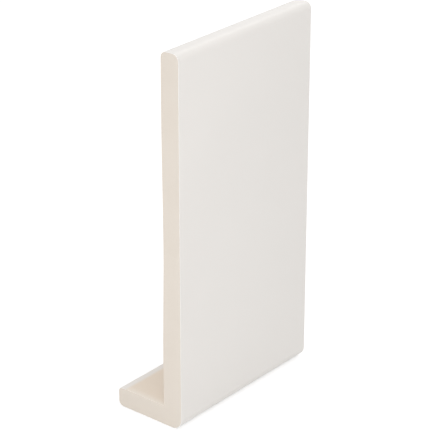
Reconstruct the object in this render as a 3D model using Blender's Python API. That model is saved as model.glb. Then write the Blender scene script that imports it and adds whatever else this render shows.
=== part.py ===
"""A corner panel: a short sawn length of L-section cover board, extruded in one piece from foamed PVC.

A tall face wall carries the show face, and a short return leg turns back from its foot. The section is
drawn in the YZ plane and runs along X. The panel stands on the underside of its return leg, with the
show face towards -Y, and the origin is the centre of its footprint. Sizes are in metres.
"""

import bmesh
import bpy

# Overall sizes of the sawn piece.
PANEL_LENGTH = 0.0890
FACE_HEIGHT = 0.1750
RETURN_DEPTH = 0.0368

# Walls of the section.
FACE_WALL = 0.0095
RETURN_WALL = 0.0092

# Radii of the section's long edges.
FACE_TOP_RADIUS = 0.0030
BACK_TOP_RADIUS = 0.0028
FACE_FOOT_RADIUS = 0.0053
NOSE_UNDER_RADIUS = 0.0025
NOSE_UPPER_RADIUS = 0.0019
ROOT_FILLET = 0.0008
ARC_SEGMENTS = 12

# The show face's plane, with the footprint centred on the origin.
SHOW_FACE_Y = -RETURN_DEPTH / 2

# Warm white foamed PVC with a soft sheen.
PVC_COLOUR = (0.80, 0.77, 0.72, 1.0)
PVC_ROUGHNESS = 0.45


def section_corners():
    """The section's corners as (distance back from the show face, height, radius), in order round it."""
    return [
        (0.0, 0.0, FACE_FOOT_RADIUS),
        (RETURN_DEPTH, 0.0, NOSE_UNDER_RADIUS),
        (RETURN_DEPTH, RETURN_WALL, NOSE_UPPER_RADIUS),
        (FACE_WALL, RETURN_WALL, ROOT_FILLET),
        (FACE_WALL, FACE_HEIGHT, BACK_TOP_RADIUS),
        (0.0, FACE_HEIGHT, FACE_TOP_RADIUS),
    ]


def extrude_section(mesh_builder, corners):
    """A sharp-edged bar of the section, centred on X."""
    start_x = -PANEL_LENGTH / 2
    outline = [
        mesh_builder.verts.new((start_x, SHOW_FACE_Y + back, height)) for back, height, _ in corners
    ]
    end_face = mesh_builder.faces.new(outline)
    extruded = bmesh.ops.extrude_face_region(mesh_builder, geom=[end_face])
    far_end = [item for item in extruded["geom"] if isinstance(item, bmesh.types.BMVert)]
    bmesh.ops.translate(mesh_builder, verts=far_end, vec=(PANEL_LENGTH, 0.0, 0.0))


def long_edge_at(mesh_builder, back, height):
    """The bar's edge that runs along X through this corner of the section."""
    y = SHOW_FACE_Y + back
    tolerance = 1e-6
    for edge in mesh_builder.edges:
        if all(abs(v.co.y - y) < tolerance and abs(v.co.z - height) < tolerance for v in edge.verts):
            return edge
    raise ValueError("the section has no such corner")


def round_long_edges(mesh_builder, corners):
    """Rounds each long edge to its own radius, the root's inside corner as a fillet."""
    for back, height, radius in corners:
        bmesh.ops.bevel(
            mesh_builder,
            geom=[long_edge_at(mesh_builder, back, height)],
            offset=radius,
            offset_type="OFFSET",
            segments=ARC_SEGMENTS,
            profile=0.5,
            affect="EDGES",
        )


def pvc_material():
    """The material of the whole extrusion."""
    material = bpy.data.materials.new("foamed_pvc")
    material.use_nodes = True
    shader = material.node_tree.nodes["Principled BSDF"]
    shader.inputs["Base Color"].default_value = PVC_COLOUR
    shader.inputs["Roughness"].default_value = PVC_ROUGHNESS
    shader.inputs["Metallic"].default_value = 0.0
    return material


def make_corner_panel():
    """The whole panel, which is one solid."""
    corners = section_corners()
    mesh_builder = bmesh.new()
    extrude_section(mesh_builder, corners)
    round_long_edges(mesh_builder, corners)
    bmesh.ops.recalc_face_normals(mesh_builder, faces=mesh_builder.faces)
    mesh = bpy.data.meshes.new("corner_panel")
    mesh_builder.to_mesh(mesh)
    mesh_builder.free()
    mesh.shade_smooth()
    mesh.set_sharp_from_angle(angle=0.5)
    mesh.materials.append(pvc_material())
    panel = bpy.data.objects.new("corner_panel", mesh)
    bpy.context.scene.collection.objects.link(panel)
    return panel


def main():
    for item in list(bpy.data.objects):
        bpy.data.objects.remove(item)
    make_corner_panel()


main()
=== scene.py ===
import bpy
import math
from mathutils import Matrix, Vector


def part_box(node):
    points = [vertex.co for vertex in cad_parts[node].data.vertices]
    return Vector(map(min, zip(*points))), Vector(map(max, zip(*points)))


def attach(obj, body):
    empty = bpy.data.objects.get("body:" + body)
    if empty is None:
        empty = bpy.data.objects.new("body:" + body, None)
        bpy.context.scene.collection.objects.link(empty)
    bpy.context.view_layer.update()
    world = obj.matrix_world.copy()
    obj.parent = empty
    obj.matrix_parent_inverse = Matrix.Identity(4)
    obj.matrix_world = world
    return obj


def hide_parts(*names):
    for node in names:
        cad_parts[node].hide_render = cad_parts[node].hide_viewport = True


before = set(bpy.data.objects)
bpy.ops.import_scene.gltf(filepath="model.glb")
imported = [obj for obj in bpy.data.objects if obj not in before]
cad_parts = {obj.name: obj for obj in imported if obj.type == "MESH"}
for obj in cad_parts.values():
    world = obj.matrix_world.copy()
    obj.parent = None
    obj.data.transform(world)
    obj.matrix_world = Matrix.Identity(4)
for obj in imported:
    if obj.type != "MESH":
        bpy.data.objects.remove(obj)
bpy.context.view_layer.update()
print("frame loaded:", sorted(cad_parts))


# small helpers for building node trees

def addNode(tree, kind, inputs=None, **settings):
    made = tree.nodes.new(kind)
    for name, value in settings.items():
        setattr(made, name, value)
    for key, value in (inputs or {}).items():
        if isinstance(value, bpy.types.NodeSocket):
            tree.links.new(value, made.inputs[key])
        else:
            made.inputs[key].default_value = value
    return made


def calc(tree, operation, first, second=0.0, third=None):
    inputs = {0: first, 1: second}
    if third is not None:
        inputs[2] = third
    return addNode(tree, "ShaderNodeMath", inputs, operation=operation).outputs[0]


def ramp(tree, value, fromLow, fromHigh, toLow, toHigh):
    inputs = {"Value": value, "From Min": fromLow, "From Max": fromHigh, "To Min": toLow, "To Max": toHigh}
    return addNode(tree, "ShaderNodeMapRange", inputs, interpolation_type="SMOOTHSTEP").outputs["Result"]


# the panel: one sawn length of the extruded section, swept by a Geometry Nodes tree

lowCorner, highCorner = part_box("corner_panel")
overall = highCorner - lowCorner
panelSizes = {
    "Length": overall.x,
    "Face Height": overall.z,
    "Leg Depth": overall.y,
    "Face Wall": 0.0095,
    "Leg Wall": 0.0092,
    "Face Top Radius": 0.0030,
    "Back Top Radius": 0.0028,
    "Face Foot Radius": 0.0053,
    "Nose Under Radius": 0.0025,
    "Nose Upper Radius": 0.0019,
    "Root Fillet": 0.0008,
    "Arris Radius": 0.00012,  # the saw leaves the cut edges barely broken
    "Sawn Border": 0.0010,  # rings round each sawn end, so that the skin's edge shows in the mesh
    "Skin Lap On Leg": 0.0024,  # the white skin wraps the nose and ends on the leg's top
    "Skin Lap On Back": 0.0008,  # and just over the back's top edge
    "Outline Step": 0.00045,
    "Back Ripple": 0.00010,  # the bare foam inside is less true than the skinned faces
    "Back Ripple Seed": 7.3,
}
backDrift = [  # share of the face height, and how far the back lies proud of true there
    (0.00, 0.00060),
    (0.20, 0.00055),
    (0.30, 0.00030),
    (0.40, -0.00005),
    (0.50, -0.00028),
    (0.62, -0.00016),
    (0.80, 0.00008),
    (1.00, 0.0),
]
sweepDetail = {
    "driftRange": 0.002,  # the most that the drift's curve can show, from its lowest to its highest
    "bareFrom": 0.0005,  # drift and ripple set in between these two distances from the skin
    "bareTo": 0.006,
    "rippleScale": 90.0,
    "roundSteps": 16,  # points round each of the section's rounded corners
    "arrisSteps": 3,
    "stationCuts": [5, 29, 5, 0],  # in one border, along the length, in the other border, none after it
    "arrisReach": 1e-5,  # only points this near to a cut edge are rounded
    "endReach": 2e-6,  # and faces this near to an end count as sawn
    "weldDistance": 5e-6,
}


def buildPanelTree(sidePvc, sawnPvc):
    tree = bpy.data.node_groups.new("sawnPanel", "GeometryNodeTree")
    for name in panelSizes:
        tree.interface.new_socket(name, in_out="INPUT", socket_type="NodeSocketFloat")
    tree.interface.new_socket("Geometry", in_out="OUTPUT", socket_type="NodeSocketGeometry")
    size = tree.nodes.new("NodeGroupInput").outputs
    index = addNode(tree, "GeometryNodeInputIndex").outputs[0]

    def pick(dataType, choices):
        chooser = addNode(tree, "GeometryNodeIndexSwitch", data_type=dataType)
        while len(chooser.index_switch_items) < len(choices):
            chooser.index_switch_items.new()
        tree.links.new(index, chooser.inputs[0])
        for place, choice in enumerate(choices):
            if isinstance(choice, bpy.types.NodeSocket):
                tree.links.new(choice, chooser.inputs[place + 1])
            else:
                chooser.inputs[place + 1].default_value = choice
        return chooser.outputs[0]

    def flatPoint(x, y):
        return addNode(tree, "ShaderNodeCombineXYZ", {0: x, 1: y}).outputs[0]

    def lineThrough(points):
        cloud = addNode(tree, "GeometryNodePoints", {
            "Count": len(points), "Position": pick("VECTOR", points)})
        return addNode(tree, "GeometryNodePointsToCurves", {"Points": cloud.outputs[0]}).outputs[0]

    # section, drawn flat: x runs back from the show face, y up
    # it starts at the root and goes round the skin
    corners = [
        (size["Face Wall"], size["Leg Wall"], size["Root Fillet"]),
        (size["Leg Depth"], size["Leg Wall"], size["Nose Upper Radius"]),
        (size["Leg Depth"], 0.0, size["Nose Under Radius"]),
        (0.0, 0.0, size["Face Foot Radius"]),
        (0.0, size["Face Height"], size["Face Top Radius"]),
        (size["Face Wall"], size["Face Height"], size["Back Top Radius"]),
    ]
    sharp = lineThrough([flatPoint(x, y) for x, y, radius in corners])
    closed = addNode(tree, "GeometryNodeSetSplineCyclic", {"Geometry": sharp, "Cyclic": True}).outputs[0]
    rounded = addNode(tree, "GeometryNodeFilletCurve", {
        "Curve": closed, "Count": sweepDetail["roundSteps"], "Limit Radius": False,
        "Radius": pick("FLOAT", [radius for x, y, radius in corners])}, mode="POLY").outputs[0]
    stepped = addNode(tree, "GeometryNodeResampleCurve", {
        "Curve": rounded, "Length": size["Outline Step"]}, mode="LENGTH").outputs[0]
    trueSection = addNode(tree, "GeometryNodeSetCurveNormal", {"Curve": stepped}, mode="Z_UP").outputs[0]

    # the white skin's path round the section
    around = addNode(tree, "GeometryNodeCurveLength", {"Curve": trueSection}).outputs[0]
    legTop = calc(tree, "SUBTRACT", size["Leg Depth"], size["Face Wall"])
    bareBack = calc(tree, "SUBTRACT", size["Face Height"], size["Leg Wall"])
    skinStart = calc(tree, "SUBTRACT", legTop, size["Skin Lap On Leg"])
    skinEnd = calc(tree, "ADD", calc(tree, "SUBTRACT", around, bareBack), size["Skin Lap On Back"])
    trim = addNode(tree, "GeometryNodeTrimCurve", {
        "Curve": trueSection, 4: skinStart, 5: skinEnd}, mode="LENGTH")
    skinPath = addNode(tree, "GeometryNodeCurveToMesh", {"Curve": trim.outputs[0]}).outputs[0]
    place = addNode(tree, "GeometryNodeInputPosition").outputs[0]
    axis = addNode(tree, "ShaderNodeSeparateXYZ", {0: place})
    inSection = flatPoint(axis.outputs[0], axis.outputs[1])
    skinDepth = addNode(tree, "GeometryNodeProximity", {
        "Geometry": skinPath, "Sample Position": inSection}, target_element="EDGES").outputs["Distance"]

    # bare inner faces: a slow drift of the back up its height, and ripples in the foam
    bare = ramp(tree, skinDepth, sweepDetail["bareFrom"], sweepDetail["bareTo"], 0.0, 1.0)
    share = calc(tree, "DIVIDE", axis.outputs[1], size["Face Height"])
    drift = addNode(tree, "ShaderNodeFloatCurve", {"Value": share})
    driftLine = drift.mapping.curves[0]
    driftRange = sweepDetail["driftRange"]
    for at, proud in backDrift[1:-1]:
        driftLine.points.new(at, 0.5 + proud / driftRange)
    driftLine.points[0].location = (0.0, 0.5 + backDrift[0][1] / driftRange)
    driftLine.points[-1].location = (1.0, 0.5 + backDrift[-1][1] / driftRange)
    drift.mapping.update()
    driftOut = calc(tree, "MULTIPLY", calc(tree, "SUBTRACT", drift.outputs[0], 0.5), driftRange)
    ripple = addNode(tree, "ShaderNodeTexNoise", {
        "Vector": inSection, "W": size["Back Ripple Seed"],
        "Scale": sweepDetail["rippleScale"], "Detail": 2.0}, noise_dimensions="4D").outputs["Fac"]
    rippleOut = calc(tree, "MULTIPLY", calc(tree, "SUBTRACT", ripple, 0.5), size["Back Ripple"])
    inward = addNode(tree, "GeometryNodeInputNormal").outputs[0]
    rippled = addNode(tree, "ShaderNodeVectorMath", {
        0: inward, "Scale": calc(tree, "MULTIPLY", calc(tree, "MULTIPLY", bare, rippleOut), -1.0)},
        operation="SCALE").outputs[0]
    facingBack = calc(tree, "MULTIPLY", addNode(tree, "ShaderNodeSeparateXYZ", {0: inward}).outputs[0], -1.0)
    drifted = flatPoint(calc(tree, "MULTIPLY", calc(tree, "MULTIPLY", bare, driftOut), facingBack), 0.0)
    outward = addNode(tree, "ShaderNodeVectorMath", {0: rippled, 1: drifted}, operation="ADD").outputs[0]
    section = addNode(tree, "GeometryNodeSetPosition", {
        "Geometry": trueSection, "Offset": outward}).outputs[0]
    outline = addNode(tree, "GeometryNodeCurveToMesh", {"Curve": section}).outputs[0]
    rimDepth = addNode(tree, "GeometryNodeProximity", {
        "Geometry": outline, "Sample Position": inSection}, target_element="EDGES").outputs["Distance"]

    # what is swept round the section: in from the sawn end, over its arris, along the length and in again
    half = calc(tree, "MULTIPLY", size["Length"], 0.5)
    minusHalf = calc(tree, "MULTIPLY", size["Length"], -0.5)
    coarse = lineThrough([flatPoint(size["Sawn Border"], half), flatPoint(0.0, half),
                          flatPoint(0.0, minusHalf), flatPoint(size["Sawn Border"], minusHalf)])
    stations = addNode(tree, "GeometryNodeSubdivideCurve", {
        "Curve": coarse, "Cuts": pick("INT", sweepDetail["stationCuts"])}).outputs[0]
    fromMiddle = calc(tree, "DIVIDE", calc(tree, "ABSOLUTE", axis.outputs[1]), half)
    toEnd = calc(tree, "SUBTRACT", 1.0, fromMiddle)
    eased = calc(tree, "SUBTRACT", 1.0, calc(tree, "MULTIPLY", toEnd, toEnd))
    easedY = calc(tree, "MULTIPLY", calc(tree, "MULTIPLY", eased, half), calc(tree, "SIGN", axis.outputs[1]))
    eased = addNode(tree, "GeometryNodeSetPosition", {
        "Geometry": stations, "Position": flatPoint(axis.outputs[0], easedY)}).outputs[0]
    nearEdge = calc(tree, "LESS_THAN", calc(tree, "ADD", axis.outputs[0], toEnd), sweepDetail["arrisReach"])
    path = addNode(tree, "GeometryNodeFilletCurve", {
        "Curve": eased, "Count": sweepDetail["arrisSteps"], "Limit Radius": False,
        "Radius": calc(tree, "MULTIPLY", nearEdge, size["Arris Radius"])}, mode="POLY").outputs[0]
    sides = addNode(tree, "GeometryNodeCurveToMesh", {"Curve": section, "Profile Curve": path}).outputs[0]

    # the middle of each sawn end
    inset = addNode(tree, "ShaderNodeVectorMath", {
        0: inward, "Scale": size["Sawn Border"]}, operation="SCALE").outputs[0]
    ring = addNode(tree, "GeometryNodeSetPosition", {"Geometry": section, "Offset": inset}).outputs[0]
    disc = addNode(tree, "GeometryNodeFillCurve", {"Curve": ring}, mode="NGONS").outputs[0]
    toFar = addNode(tree, "ShaderNodeCombineXYZ", {2: half}).outputs[0]
    farDisc = addNode(tree, "GeometryNodeTransform", {"Geometry": disc, "Translation": toFar}).outputs[0]
    toNear = addNode(tree, "ShaderNodeCombineXYZ", {2: minusHalf}).outputs[0]
    nearDisc = addNode(tree, "GeometryNodeTransform", {"Geometry": disc, "Translation": toNear}).outputs[0]
    nearDisc = addNode(tree, "GeometryNodeFlipFaces", {"Mesh": nearDisc}).outputs[0]
    joined = addNode(tree, "GeometryNodeJoinGeometry")
    for part in (sides, farDisc, nearDisc):
        tree.links.new(part, joined.inputs[0])
    whole = addNode(tree, "GeometryNodeMergeByDistance", {
        "Geometry": joined.outputs[0], "Distance": sweepDetail["weldDistance"]})

    # the depths go to the materials, then the panel stands up along X
    named = whole
    for name, depth in (("skinDepth", skinDepth), ("rimDepth", rimDepth)):
        named = addNode(tree, "GeometryNodeStoreNamedAttribute", {
            "Geometry": named.outputs[0], "Name": name, "Value": depth}, data_type="FLOAT", domain="POINT")
    smooth = addNode(tree, "GeometryNodeSetShadeSmooth", {"Geometry": named.outputs[0]})
    backBy = calc(tree, "MULTIPLY", size["Leg Depth"], -0.5)
    standing = addNode(tree, "GeometryNodeTransform", {
        "Geometry": smooth.outputs[0], "Rotation": (math.pi / 2, 0.0, math.pi / 2),
        "Translation": addNode(tree, "ShaderNodeCombineXYZ", {1: backBy}).outputs[0]})
    real = addNode(tree, "GeometryNodeRealizeInstances", {"Geometry": standing.outputs[0]})
    almostEnd = calc(tree, "SUBTRACT", half, sweepDetail["endReach"])
    sawn = calc(tree, "GREATER_THAN", calc(tree, "ABSOLUTE", axis.outputs[0]), almostEnd)
    skinned = addNode(tree, "GeometryNodeSetMaterial", {"Geometry": real.outputs[0], "Material": sidePvc})
    ended = addNode(tree, "GeometryNodeSetMaterial", {
        "Geometry": skinned.outputs[0], "Selection": sawn, "Material": sawnPvc})
    output = tree.nodes.new("NodeGroupOutput")
    tree.links.new(ended.outputs[0], output.inputs[0])
    return tree


def sweepPanel(sidePvc, sawnPvc):
    tree = buildPanelTree(sidePvc, sawnPvc)
    maker = bpy.data.objects.new("panelMaker", bpy.data.meshes.new("panelMaker"))
    bpy.context.scene.collection.objects.link(maker)
    sweep = maker.modifiers.new("sweep", "NODES")
    sweep.node_group = tree
    for socket in tree.interface.items_tree:
        if socket.in_out == "INPUT":
            sweep[socket.identifier] = panelSizes[socket.name]
    ready = maker.evaluated_get(bpy.context.evaluated_depsgraph_get())
    mesh = bpy.data.meshes.new_from_object(ready)
    bpy.data.objects.remove(maker)
    mesh.name = "sawnPanel"
    for slot in reversed([i for i, m in enumerate(mesh.materials) if m is None]):
        mesh.materials.pop(index=slot)
    panel = bpy.data.objects.new("sawn_panel", mesh)
    bpy.context.scene.collection.objects.link(panel)
    return panel


# materials

pvcLooks = {
    "skinWhite": (0.799, 0.770, 0.738, 1.0),
    "skinCloud": (0.786, 0.757, 0.725, 1.0),
    "sawnBeige": (0.786, 0.718, 0.641, 1.0),  # the foam that the saw opened
    "sawnTan": (0.748, 0.676, 0.590, 1.0),
    "bareBeige": (0.796, 0.705, 0.605, 1.0),  # the foam's own outside, at the back and on the leg
    "bareTan": (0.768, 0.670, 0.565, 1.0),
    "whitenedAndHighlit": (0.835, 0.785, 0.720, 1.0),  # the foam's cut edges, partly crushed by the teeth and partly a painted highlight along the cut
    "skinEdgeHighlight": (0.865, 0.840, 0.805, 1.0),  # a painted highlight on the skin's cut edges
    "skinThickness": 0.00018,
    "skinLapStart": 0.0002,  # the skin thins out between these two where it ends on a bare face
    "skinLapFade": 0.0024,
    "skinWander": 0.00020,  # how far the skin's edge strays
    "rimThickness": 0.00030,  # denser tan foam just inside a bare face
    "edgeWhiteAndHighlightWidth": 0.00025,  # how far the whitening, partly a painted highlight, comes in from a cut
    "highlightFadeWidth": 0.0045,  # and past that how far a painted highlight makes the bare faces paler toward each sawn end
    "highlightFadeShare": 0.6,
    "skinRoughness": (0.33, 0.43),
    "bareRoughness": (0.55, 0.70),
    "sawnRoughness": (0.60, 0.78),
    "dieLineTone": 0.3,  # how much of the skin's cloudy tone comes from its die lines, and from its clouds
    "cloudTone": 0.7,
    "cellTone": 0.25,  # how much of the foam's tan comes from its cells, and from its mottle
    "mottleTone": 0.30,
    "dieLineStretch": 0.015,  # die lines run the whole length, so their noise is squeezed along X
    "peelHeight": 0.000008,
    "dieLineHeight": 0.000008,
    "grainHeight": 0.000020,
    "sawHeight": 0.000020,
    "cellHeight": 0.000030,
    "bladeCentre": (0.0, 0.16, 0.02),  # the saw's scores are arcs round it
}
patternScales = {  # per metre, so a higher number is a finer pattern
    "clouds": 18.0,
    "mottle": 75.0,
    "skinGloss": 90.0,
    "skinWander": 260.0,
    "bareGloss": 400.0,
    "dieLines": 650.0,
    "peel": 900.0,
    "scores": 1100.0,
    "grain": 1800.0,
    "cells": 2600.0,
}


def noise(tree, coords, pattern, detail=2.0):
    inputs = {"Vector": coords, "Scale": patternScales[pattern], "Detail": detail}
    return addNode(tree, "ShaderNodeTexNoise", inputs).outputs["Fac"]


def blend(tree, share, first, second):
    mix = addNode(tree, "ShaderNodeMix", {"Factor": share, 6: first, 7: second}, data_type="RGBA")
    return mix.outputs[2]


def blendValue(tree, share, first, second):
    mix = addNode(tree, "ShaderNodeMix", {"Factor": share, 2: first, 3: second}, data_type="FLOAT")
    return mix.outputs[0]


def relief(tree, height, distance, under=None):
    inputs = {"Height": height, "Distance": distance, "Strength": 1.0}
    if under is not None:
        inputs["Normal"] = under
    return addNode(tree, "ShaderNodeBump", inputs).outputs[0]


def newMaterial(name):
    material = bpy.data.materials.new(name)
    material.use_nodes = True
    return material, material.node_tree, material.node_tree.nodes["Principled BSDF"]


def attribute(tree, name):
    return addNode(tree, "ShaderNodeAttribute", attribute_name=name).outputs["Fac"]


def skinShare(tree, coords, fadeStart, fadeEnd):
    # all skin at the surface, none past its fade, with an edge that strays a little
    stray = calc(tree, "SUBTRACT", noise(tree, coords, "skinWander"), 0.5)
    depth = calc(tree, "MULTIPLY_ADD", stray, pvcLooks["skinWander"], attribute(tree, "skinDepth"))
    return ramp(tree, depth, fadeStart, fadeEnd, 1.0, 0.0)


def skinColour(tree, coords, dieLines):
    clouds = ramp(tree, noise(tree, coords, "clouds"), 0.35, 0.65, 0.0, 1.0)
    cloudy = calc(tree, "MULTIPLY", clouds, pvcLooks["cloudTone"])
    tone = calc(tree, "MULTIPLY_ADD", dieLines, pvcLooks["dieLineTone"], cloudy)
    return blend(tree, tone, pvcLooks["skinWhite"], pvcLooks["skinCloud"])


def foamColour(tree, coords, cells, pale, dark):
    mottle = ramp(tree, noise(tree, coords, "mottle", 4.0), 0.3, 0.7, 0.0, 1.0)
    mottled = calc(tree, "MULTIPLY", mottle, pvcLooks["mottleTone"])
    tone = calc(tree, "MULTIPLY_ADD", cells, pvcLooks["cellTone"], mottled)
    return blend(tree, tone, pvcLooks[pale], pvcLooks[dark])


def foamCells(tree, coords):
    inputs = {"Vector": coords, "Scale": patternScales["cells"]}
    return addNode(tree, "ShaderNodeTexVoronoi", inputs).outputs["Distance"]


def sideMaterial():
    material, tree, shader = newMaterial("pvcSides")
    coords = addNode(tree, "ShaderNodeTexCoord").outputs["Object"]
    alongX = addNode(tree, "ShaderNodeMapping", {
        "Vector": coords, "Scale": (pvcLooks["dieLineStretch"], 1.0, 1.0)}).outputs[0]
    dieLines = noise(tree, alongX, "dieLines", 3.0)
    skin = skinShare(tree, coords, pvcLooks["skinLapStart"], pvcLooks["skinLapFade"])
    bare = calc(tree, "SUBTRACT", 1.0, skin)
    cells = foamCells(tree, coords)

    colour = blend(tree, skin, foamColour(tree, coords, cells, "bareBeige", "bareTan"),
                   skinColour(tree, coords, dieLines))
    fromMiddle = calc(tree, "ABSOLUTE", addNode(tree, "ShaderNodeSeparateXYZ", {0: coords}).outputs[0])
    cut = overall.x / 2
    # cut edges paler: partly crushed foam, partly a painted highlight along the cut
    edge = ramp(tree, fromMiddle, cut - pvcLooks["edgeWhiteAndHighlightWidth"], cut - pvcLooks["edgeWhiteAndHighlightWidth"] / 3, 0.0, 1.0)
    # painted highlight: the bare faces fade paler toward each sawn end
    paintedHighlightFade = ramp(tree, fromMiddle, cut - pvcLooks["highlightFadeWidth"], cut, 0.0, pvcLooks["highlightFadeShare"])
    paleAndHighlit = calc(tree, "MAXIMUM", edge, paintedHighlightFade)
    # painted highlight on the skin's cut edges
    colour = blend(tree, calc(tree, "MULTIPLY", edge, skin), colour, pvcLooks["skinEdgeHighlight"])
    colour = blend(tree, calc(tree, "MULTIPLY", paleAndHighlit, bare), colour, pvcLooks["whitenedAndHighlit"])
    tree.links.new(colour, shader.inputs["Base Color"])

    skinRough = blendValue(tree, noise(tree, coords, "skinGloss", 4.0), *pvcLooks["skinRoughness"])
    bareRough = blendValue(tree, noise(tree, coords, "bareGloss", 3.0), *pvcLooks["bareRoughness"])
    tree.links.new(blendValue(tree, skin, bareRough, skinRough), shader.inputs["Roughness"])

    peel = calc(tree, "MULTIPLY", noise(tree, coords, "peel", 1.0), skin)
    grain = calc(tree, "MULTIPLY", noise(tree, coords, "grain"), bare)
    normal = relief(tree, dieLines, pvcLooks["dieLineHeight"])
    normal = relief(tree, peel, pvcLooks["peelHeight"], normal)
    tree.links.new(relief(tree, grain, pvcLooks["grainHeight"], normal), shader.inputs["Normal"])
    return material


def sawnMaterial():
    material, tree, shader = newMaterial("pvcSawn")
    coords = addNode(tree, "ShaderNodeTexCoord").outputs["Object"]
    thick = pvcLooks["skinThickness"]
    skin = skinShare(tree, coords, thick * 0.7, thick * 1.3)
    cells = foamCells(tree, coords)
    colour = foamColour(tree, coords, cells, "sawnBeige", "sawnTan")
    rimThick = pvcLooks["rimThickness"]
    rim = ramp(tree, attribute(tree, "rimDepth"), rimThick * 0.5, rimThick * 1.5, 1.0, 0.0)
    colour = blend(tree, rim, colour, pvcLooks["bareTan"])
    tree.links.new(blend(tree, skin, colour, pvcLooks["skinWhite"]), shader.inputs["Base Color"])
    rough = blendValue(tree, noise(tree, coords, "bareGloss", 3.0), *pvcLooks["sawnRoughness"])
    tree.links.new(rough, shader.inputs["Roughness"])

    flat = addNode(tree, "ShaderNodeVectorMath", {
        0: coords, 1: (0.0, 1.0, 1.0)}, operation="MULTIPLY").outputs[0]
    fromBlade = addNode(tree, "ShaderNodeVectorMath", {0: flat, 1: pvcLooks["bladeCentre"]},
                        operation="DISTANCE").outputs["Value"]
    scores = addNode(tree, "ShaderNodeTexNoise", {
        "W": fromBlade, "Scale": patternScales["scores"], "Detail": 2.0},
        noise_dimensions="1D").outputs["Fac"]
    normal = relief(tree, scores, pvcLooks["sawHeight"])
    tree.links.new(relief(tree, cells, pvcLooks["cellHeight"], normal), shader.inputs["Normal"])
    return material


panel = sweepPanel(sideMaterial(), sawnMaterial())
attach(panel, "root")
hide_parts("corner_panel")
print("panel swept:", len(panel.data.polygons), "faces")


# floor, light and camera

studio = {
    "floorSize": 8.0,
    "floorDrop": 0.0002,
    "floorColour": (0.85, 0.85, 0.85, 1.0),
    "floorRoughness": 0.9,
    "floorGlow": 0.60,  # what the floor shows of itself, and under it how much of the light on it
    "floorCatch": (0.55, 0.55, 0.55, 1.0),
    "skyLight": 0.73,
    "aim": (0.0, 0.0, 0.08),
}
softBoxes = {  # seen from above, turn goes clockwise from the show face's side; metres and watts
    "overFront": {"turn": 20, "rise": 60, "away": 0.50, "size": 0.35, "power": 0.545},
    "nearEdge": {"turn": 60, "rise": 10, "away": 0.35, "size": 0.20, "power": 0.240},
    "farBack": {"turn": -110, "rise": 40, "away": 1.30, "size": 0.80, "power": 2.13},
}
photoCamera = {
    "place": (-0.60547, -0.50171, 0.44050),
    "turn": (65.586, 0.0, -50.400),
    "lens": 162.97,
    "clipStart": 0.01,
}


def seenByCamera(tree):
    rays = addNode(tree, "ShaderNodeLightPath").outputs
    seen = calc(tree, "MAXIMUM", rays["Is Camera Ray"], rays["Is Glossy Ray"])
    return calc(tree, "MAXIMUM", seen, rays["Is Transmission Ray"])


def makeFloor():
    mesh = bpy.data.meshes.new("floor")
    half, z = studio["floorSize"] / 2, -studio["floorDrop"]
    corners = [(-half, -half, z), (half, -half, z), (half, half, z), (-half, half, z)]
    mesh.from_pydata(corners, [], [(0, 1, 2, 3)])
    floor = bpy.data.objects.new("floor", mesh)
    bpy.context.scene.collection.objects.link(floor)
    material, tree, shader = newMaterial("paleFloor")
    shader.inputs["Base Color"].default_value = studio["floorColour"]
    shader.inputs["Roughness"].default_value = studio["floorRoughness"]
    caught = addNode(tree, "ShaderNodeBsdfDiffuse", {"Color": studio["floorCatch"]}).outputs[0]
    glow = addNode(tree, "ShaderNodeEmission", {"Strength": studio["floorGlow"]}).outputs[0]
    shown = addNode(tree, "ShaderNodeAddShader", {0: glow, 1: caught}).outputs[0]
    whole = addNode(tree, "ShaderNodeMixShader", {0: seenByCamera(tree), 1: shader.outputs[0], 2: shown})
    tree.links.new(whole.outputs[0], tree.nodes["Material Output"].inputs["Surface"])
    mesh.materials.append(material)


def makeSky():
    world = bpy.data.worlds.new("studioSky")
    world.use_nodes = True
    tree = world.node_tree
    strength = blendValue(tree, seenByCamera(tree), studio["skyLight"], 1.0)
    tree.links.new(strength, tree.nodes["Background"].inputs["Strength"])
    tree.nodes["Background"].inputs["Color"].default_value = (1.0, 1.0, 1.0, 1.0)
    bpy.context.scene.world = world


def makeSoftBox(name, turn, rise, away, size, power):
    light = bpy.data.lights.new(name, "AREA")
    light.energy = power
    light.size = size
    lamp = bpy.data.objects.new(name, light)
    turn, rise = math.radians(turn), math.radians(rise)
    outward = Vector((-math.sin(turn) * math.cos(rise), -math.cos(turn) * math.cos(rise), math.sin(rise)))
    lamp.location = Vector(studio["aim"]) + outward * away
    lamp.rotation_euler = (-outward).to_track_quat("-Z", "Y").to_euler()
    lamp.visible_camera = False
    bpy.context.scene.collection.objects.link(lamp)


def makeCamera():
    data = bpy.data.cameras.new("photoCamera")
    data.lens = photoCamera["lens"]
    data.clip_start = photoCamera["clipStart"]
    camera = bpy.data.objects.new("photoCamera", data)
    camera.location = photoCamera["place"]
    camera.rotation_euler = [math.radians(angle) for angle in photoCamera["turn"]]
    bpy.context.scene.collection.objects.link(camera)
    bpy.context.scene.camera = camera


makeFloor()
makeSky()
for name, box in softBoxes.items():
    makeSoftBox(name, **box)
makeCamera()
bpy.context.scene.view_settings.view_transform = "Standard"
print("studio ready")
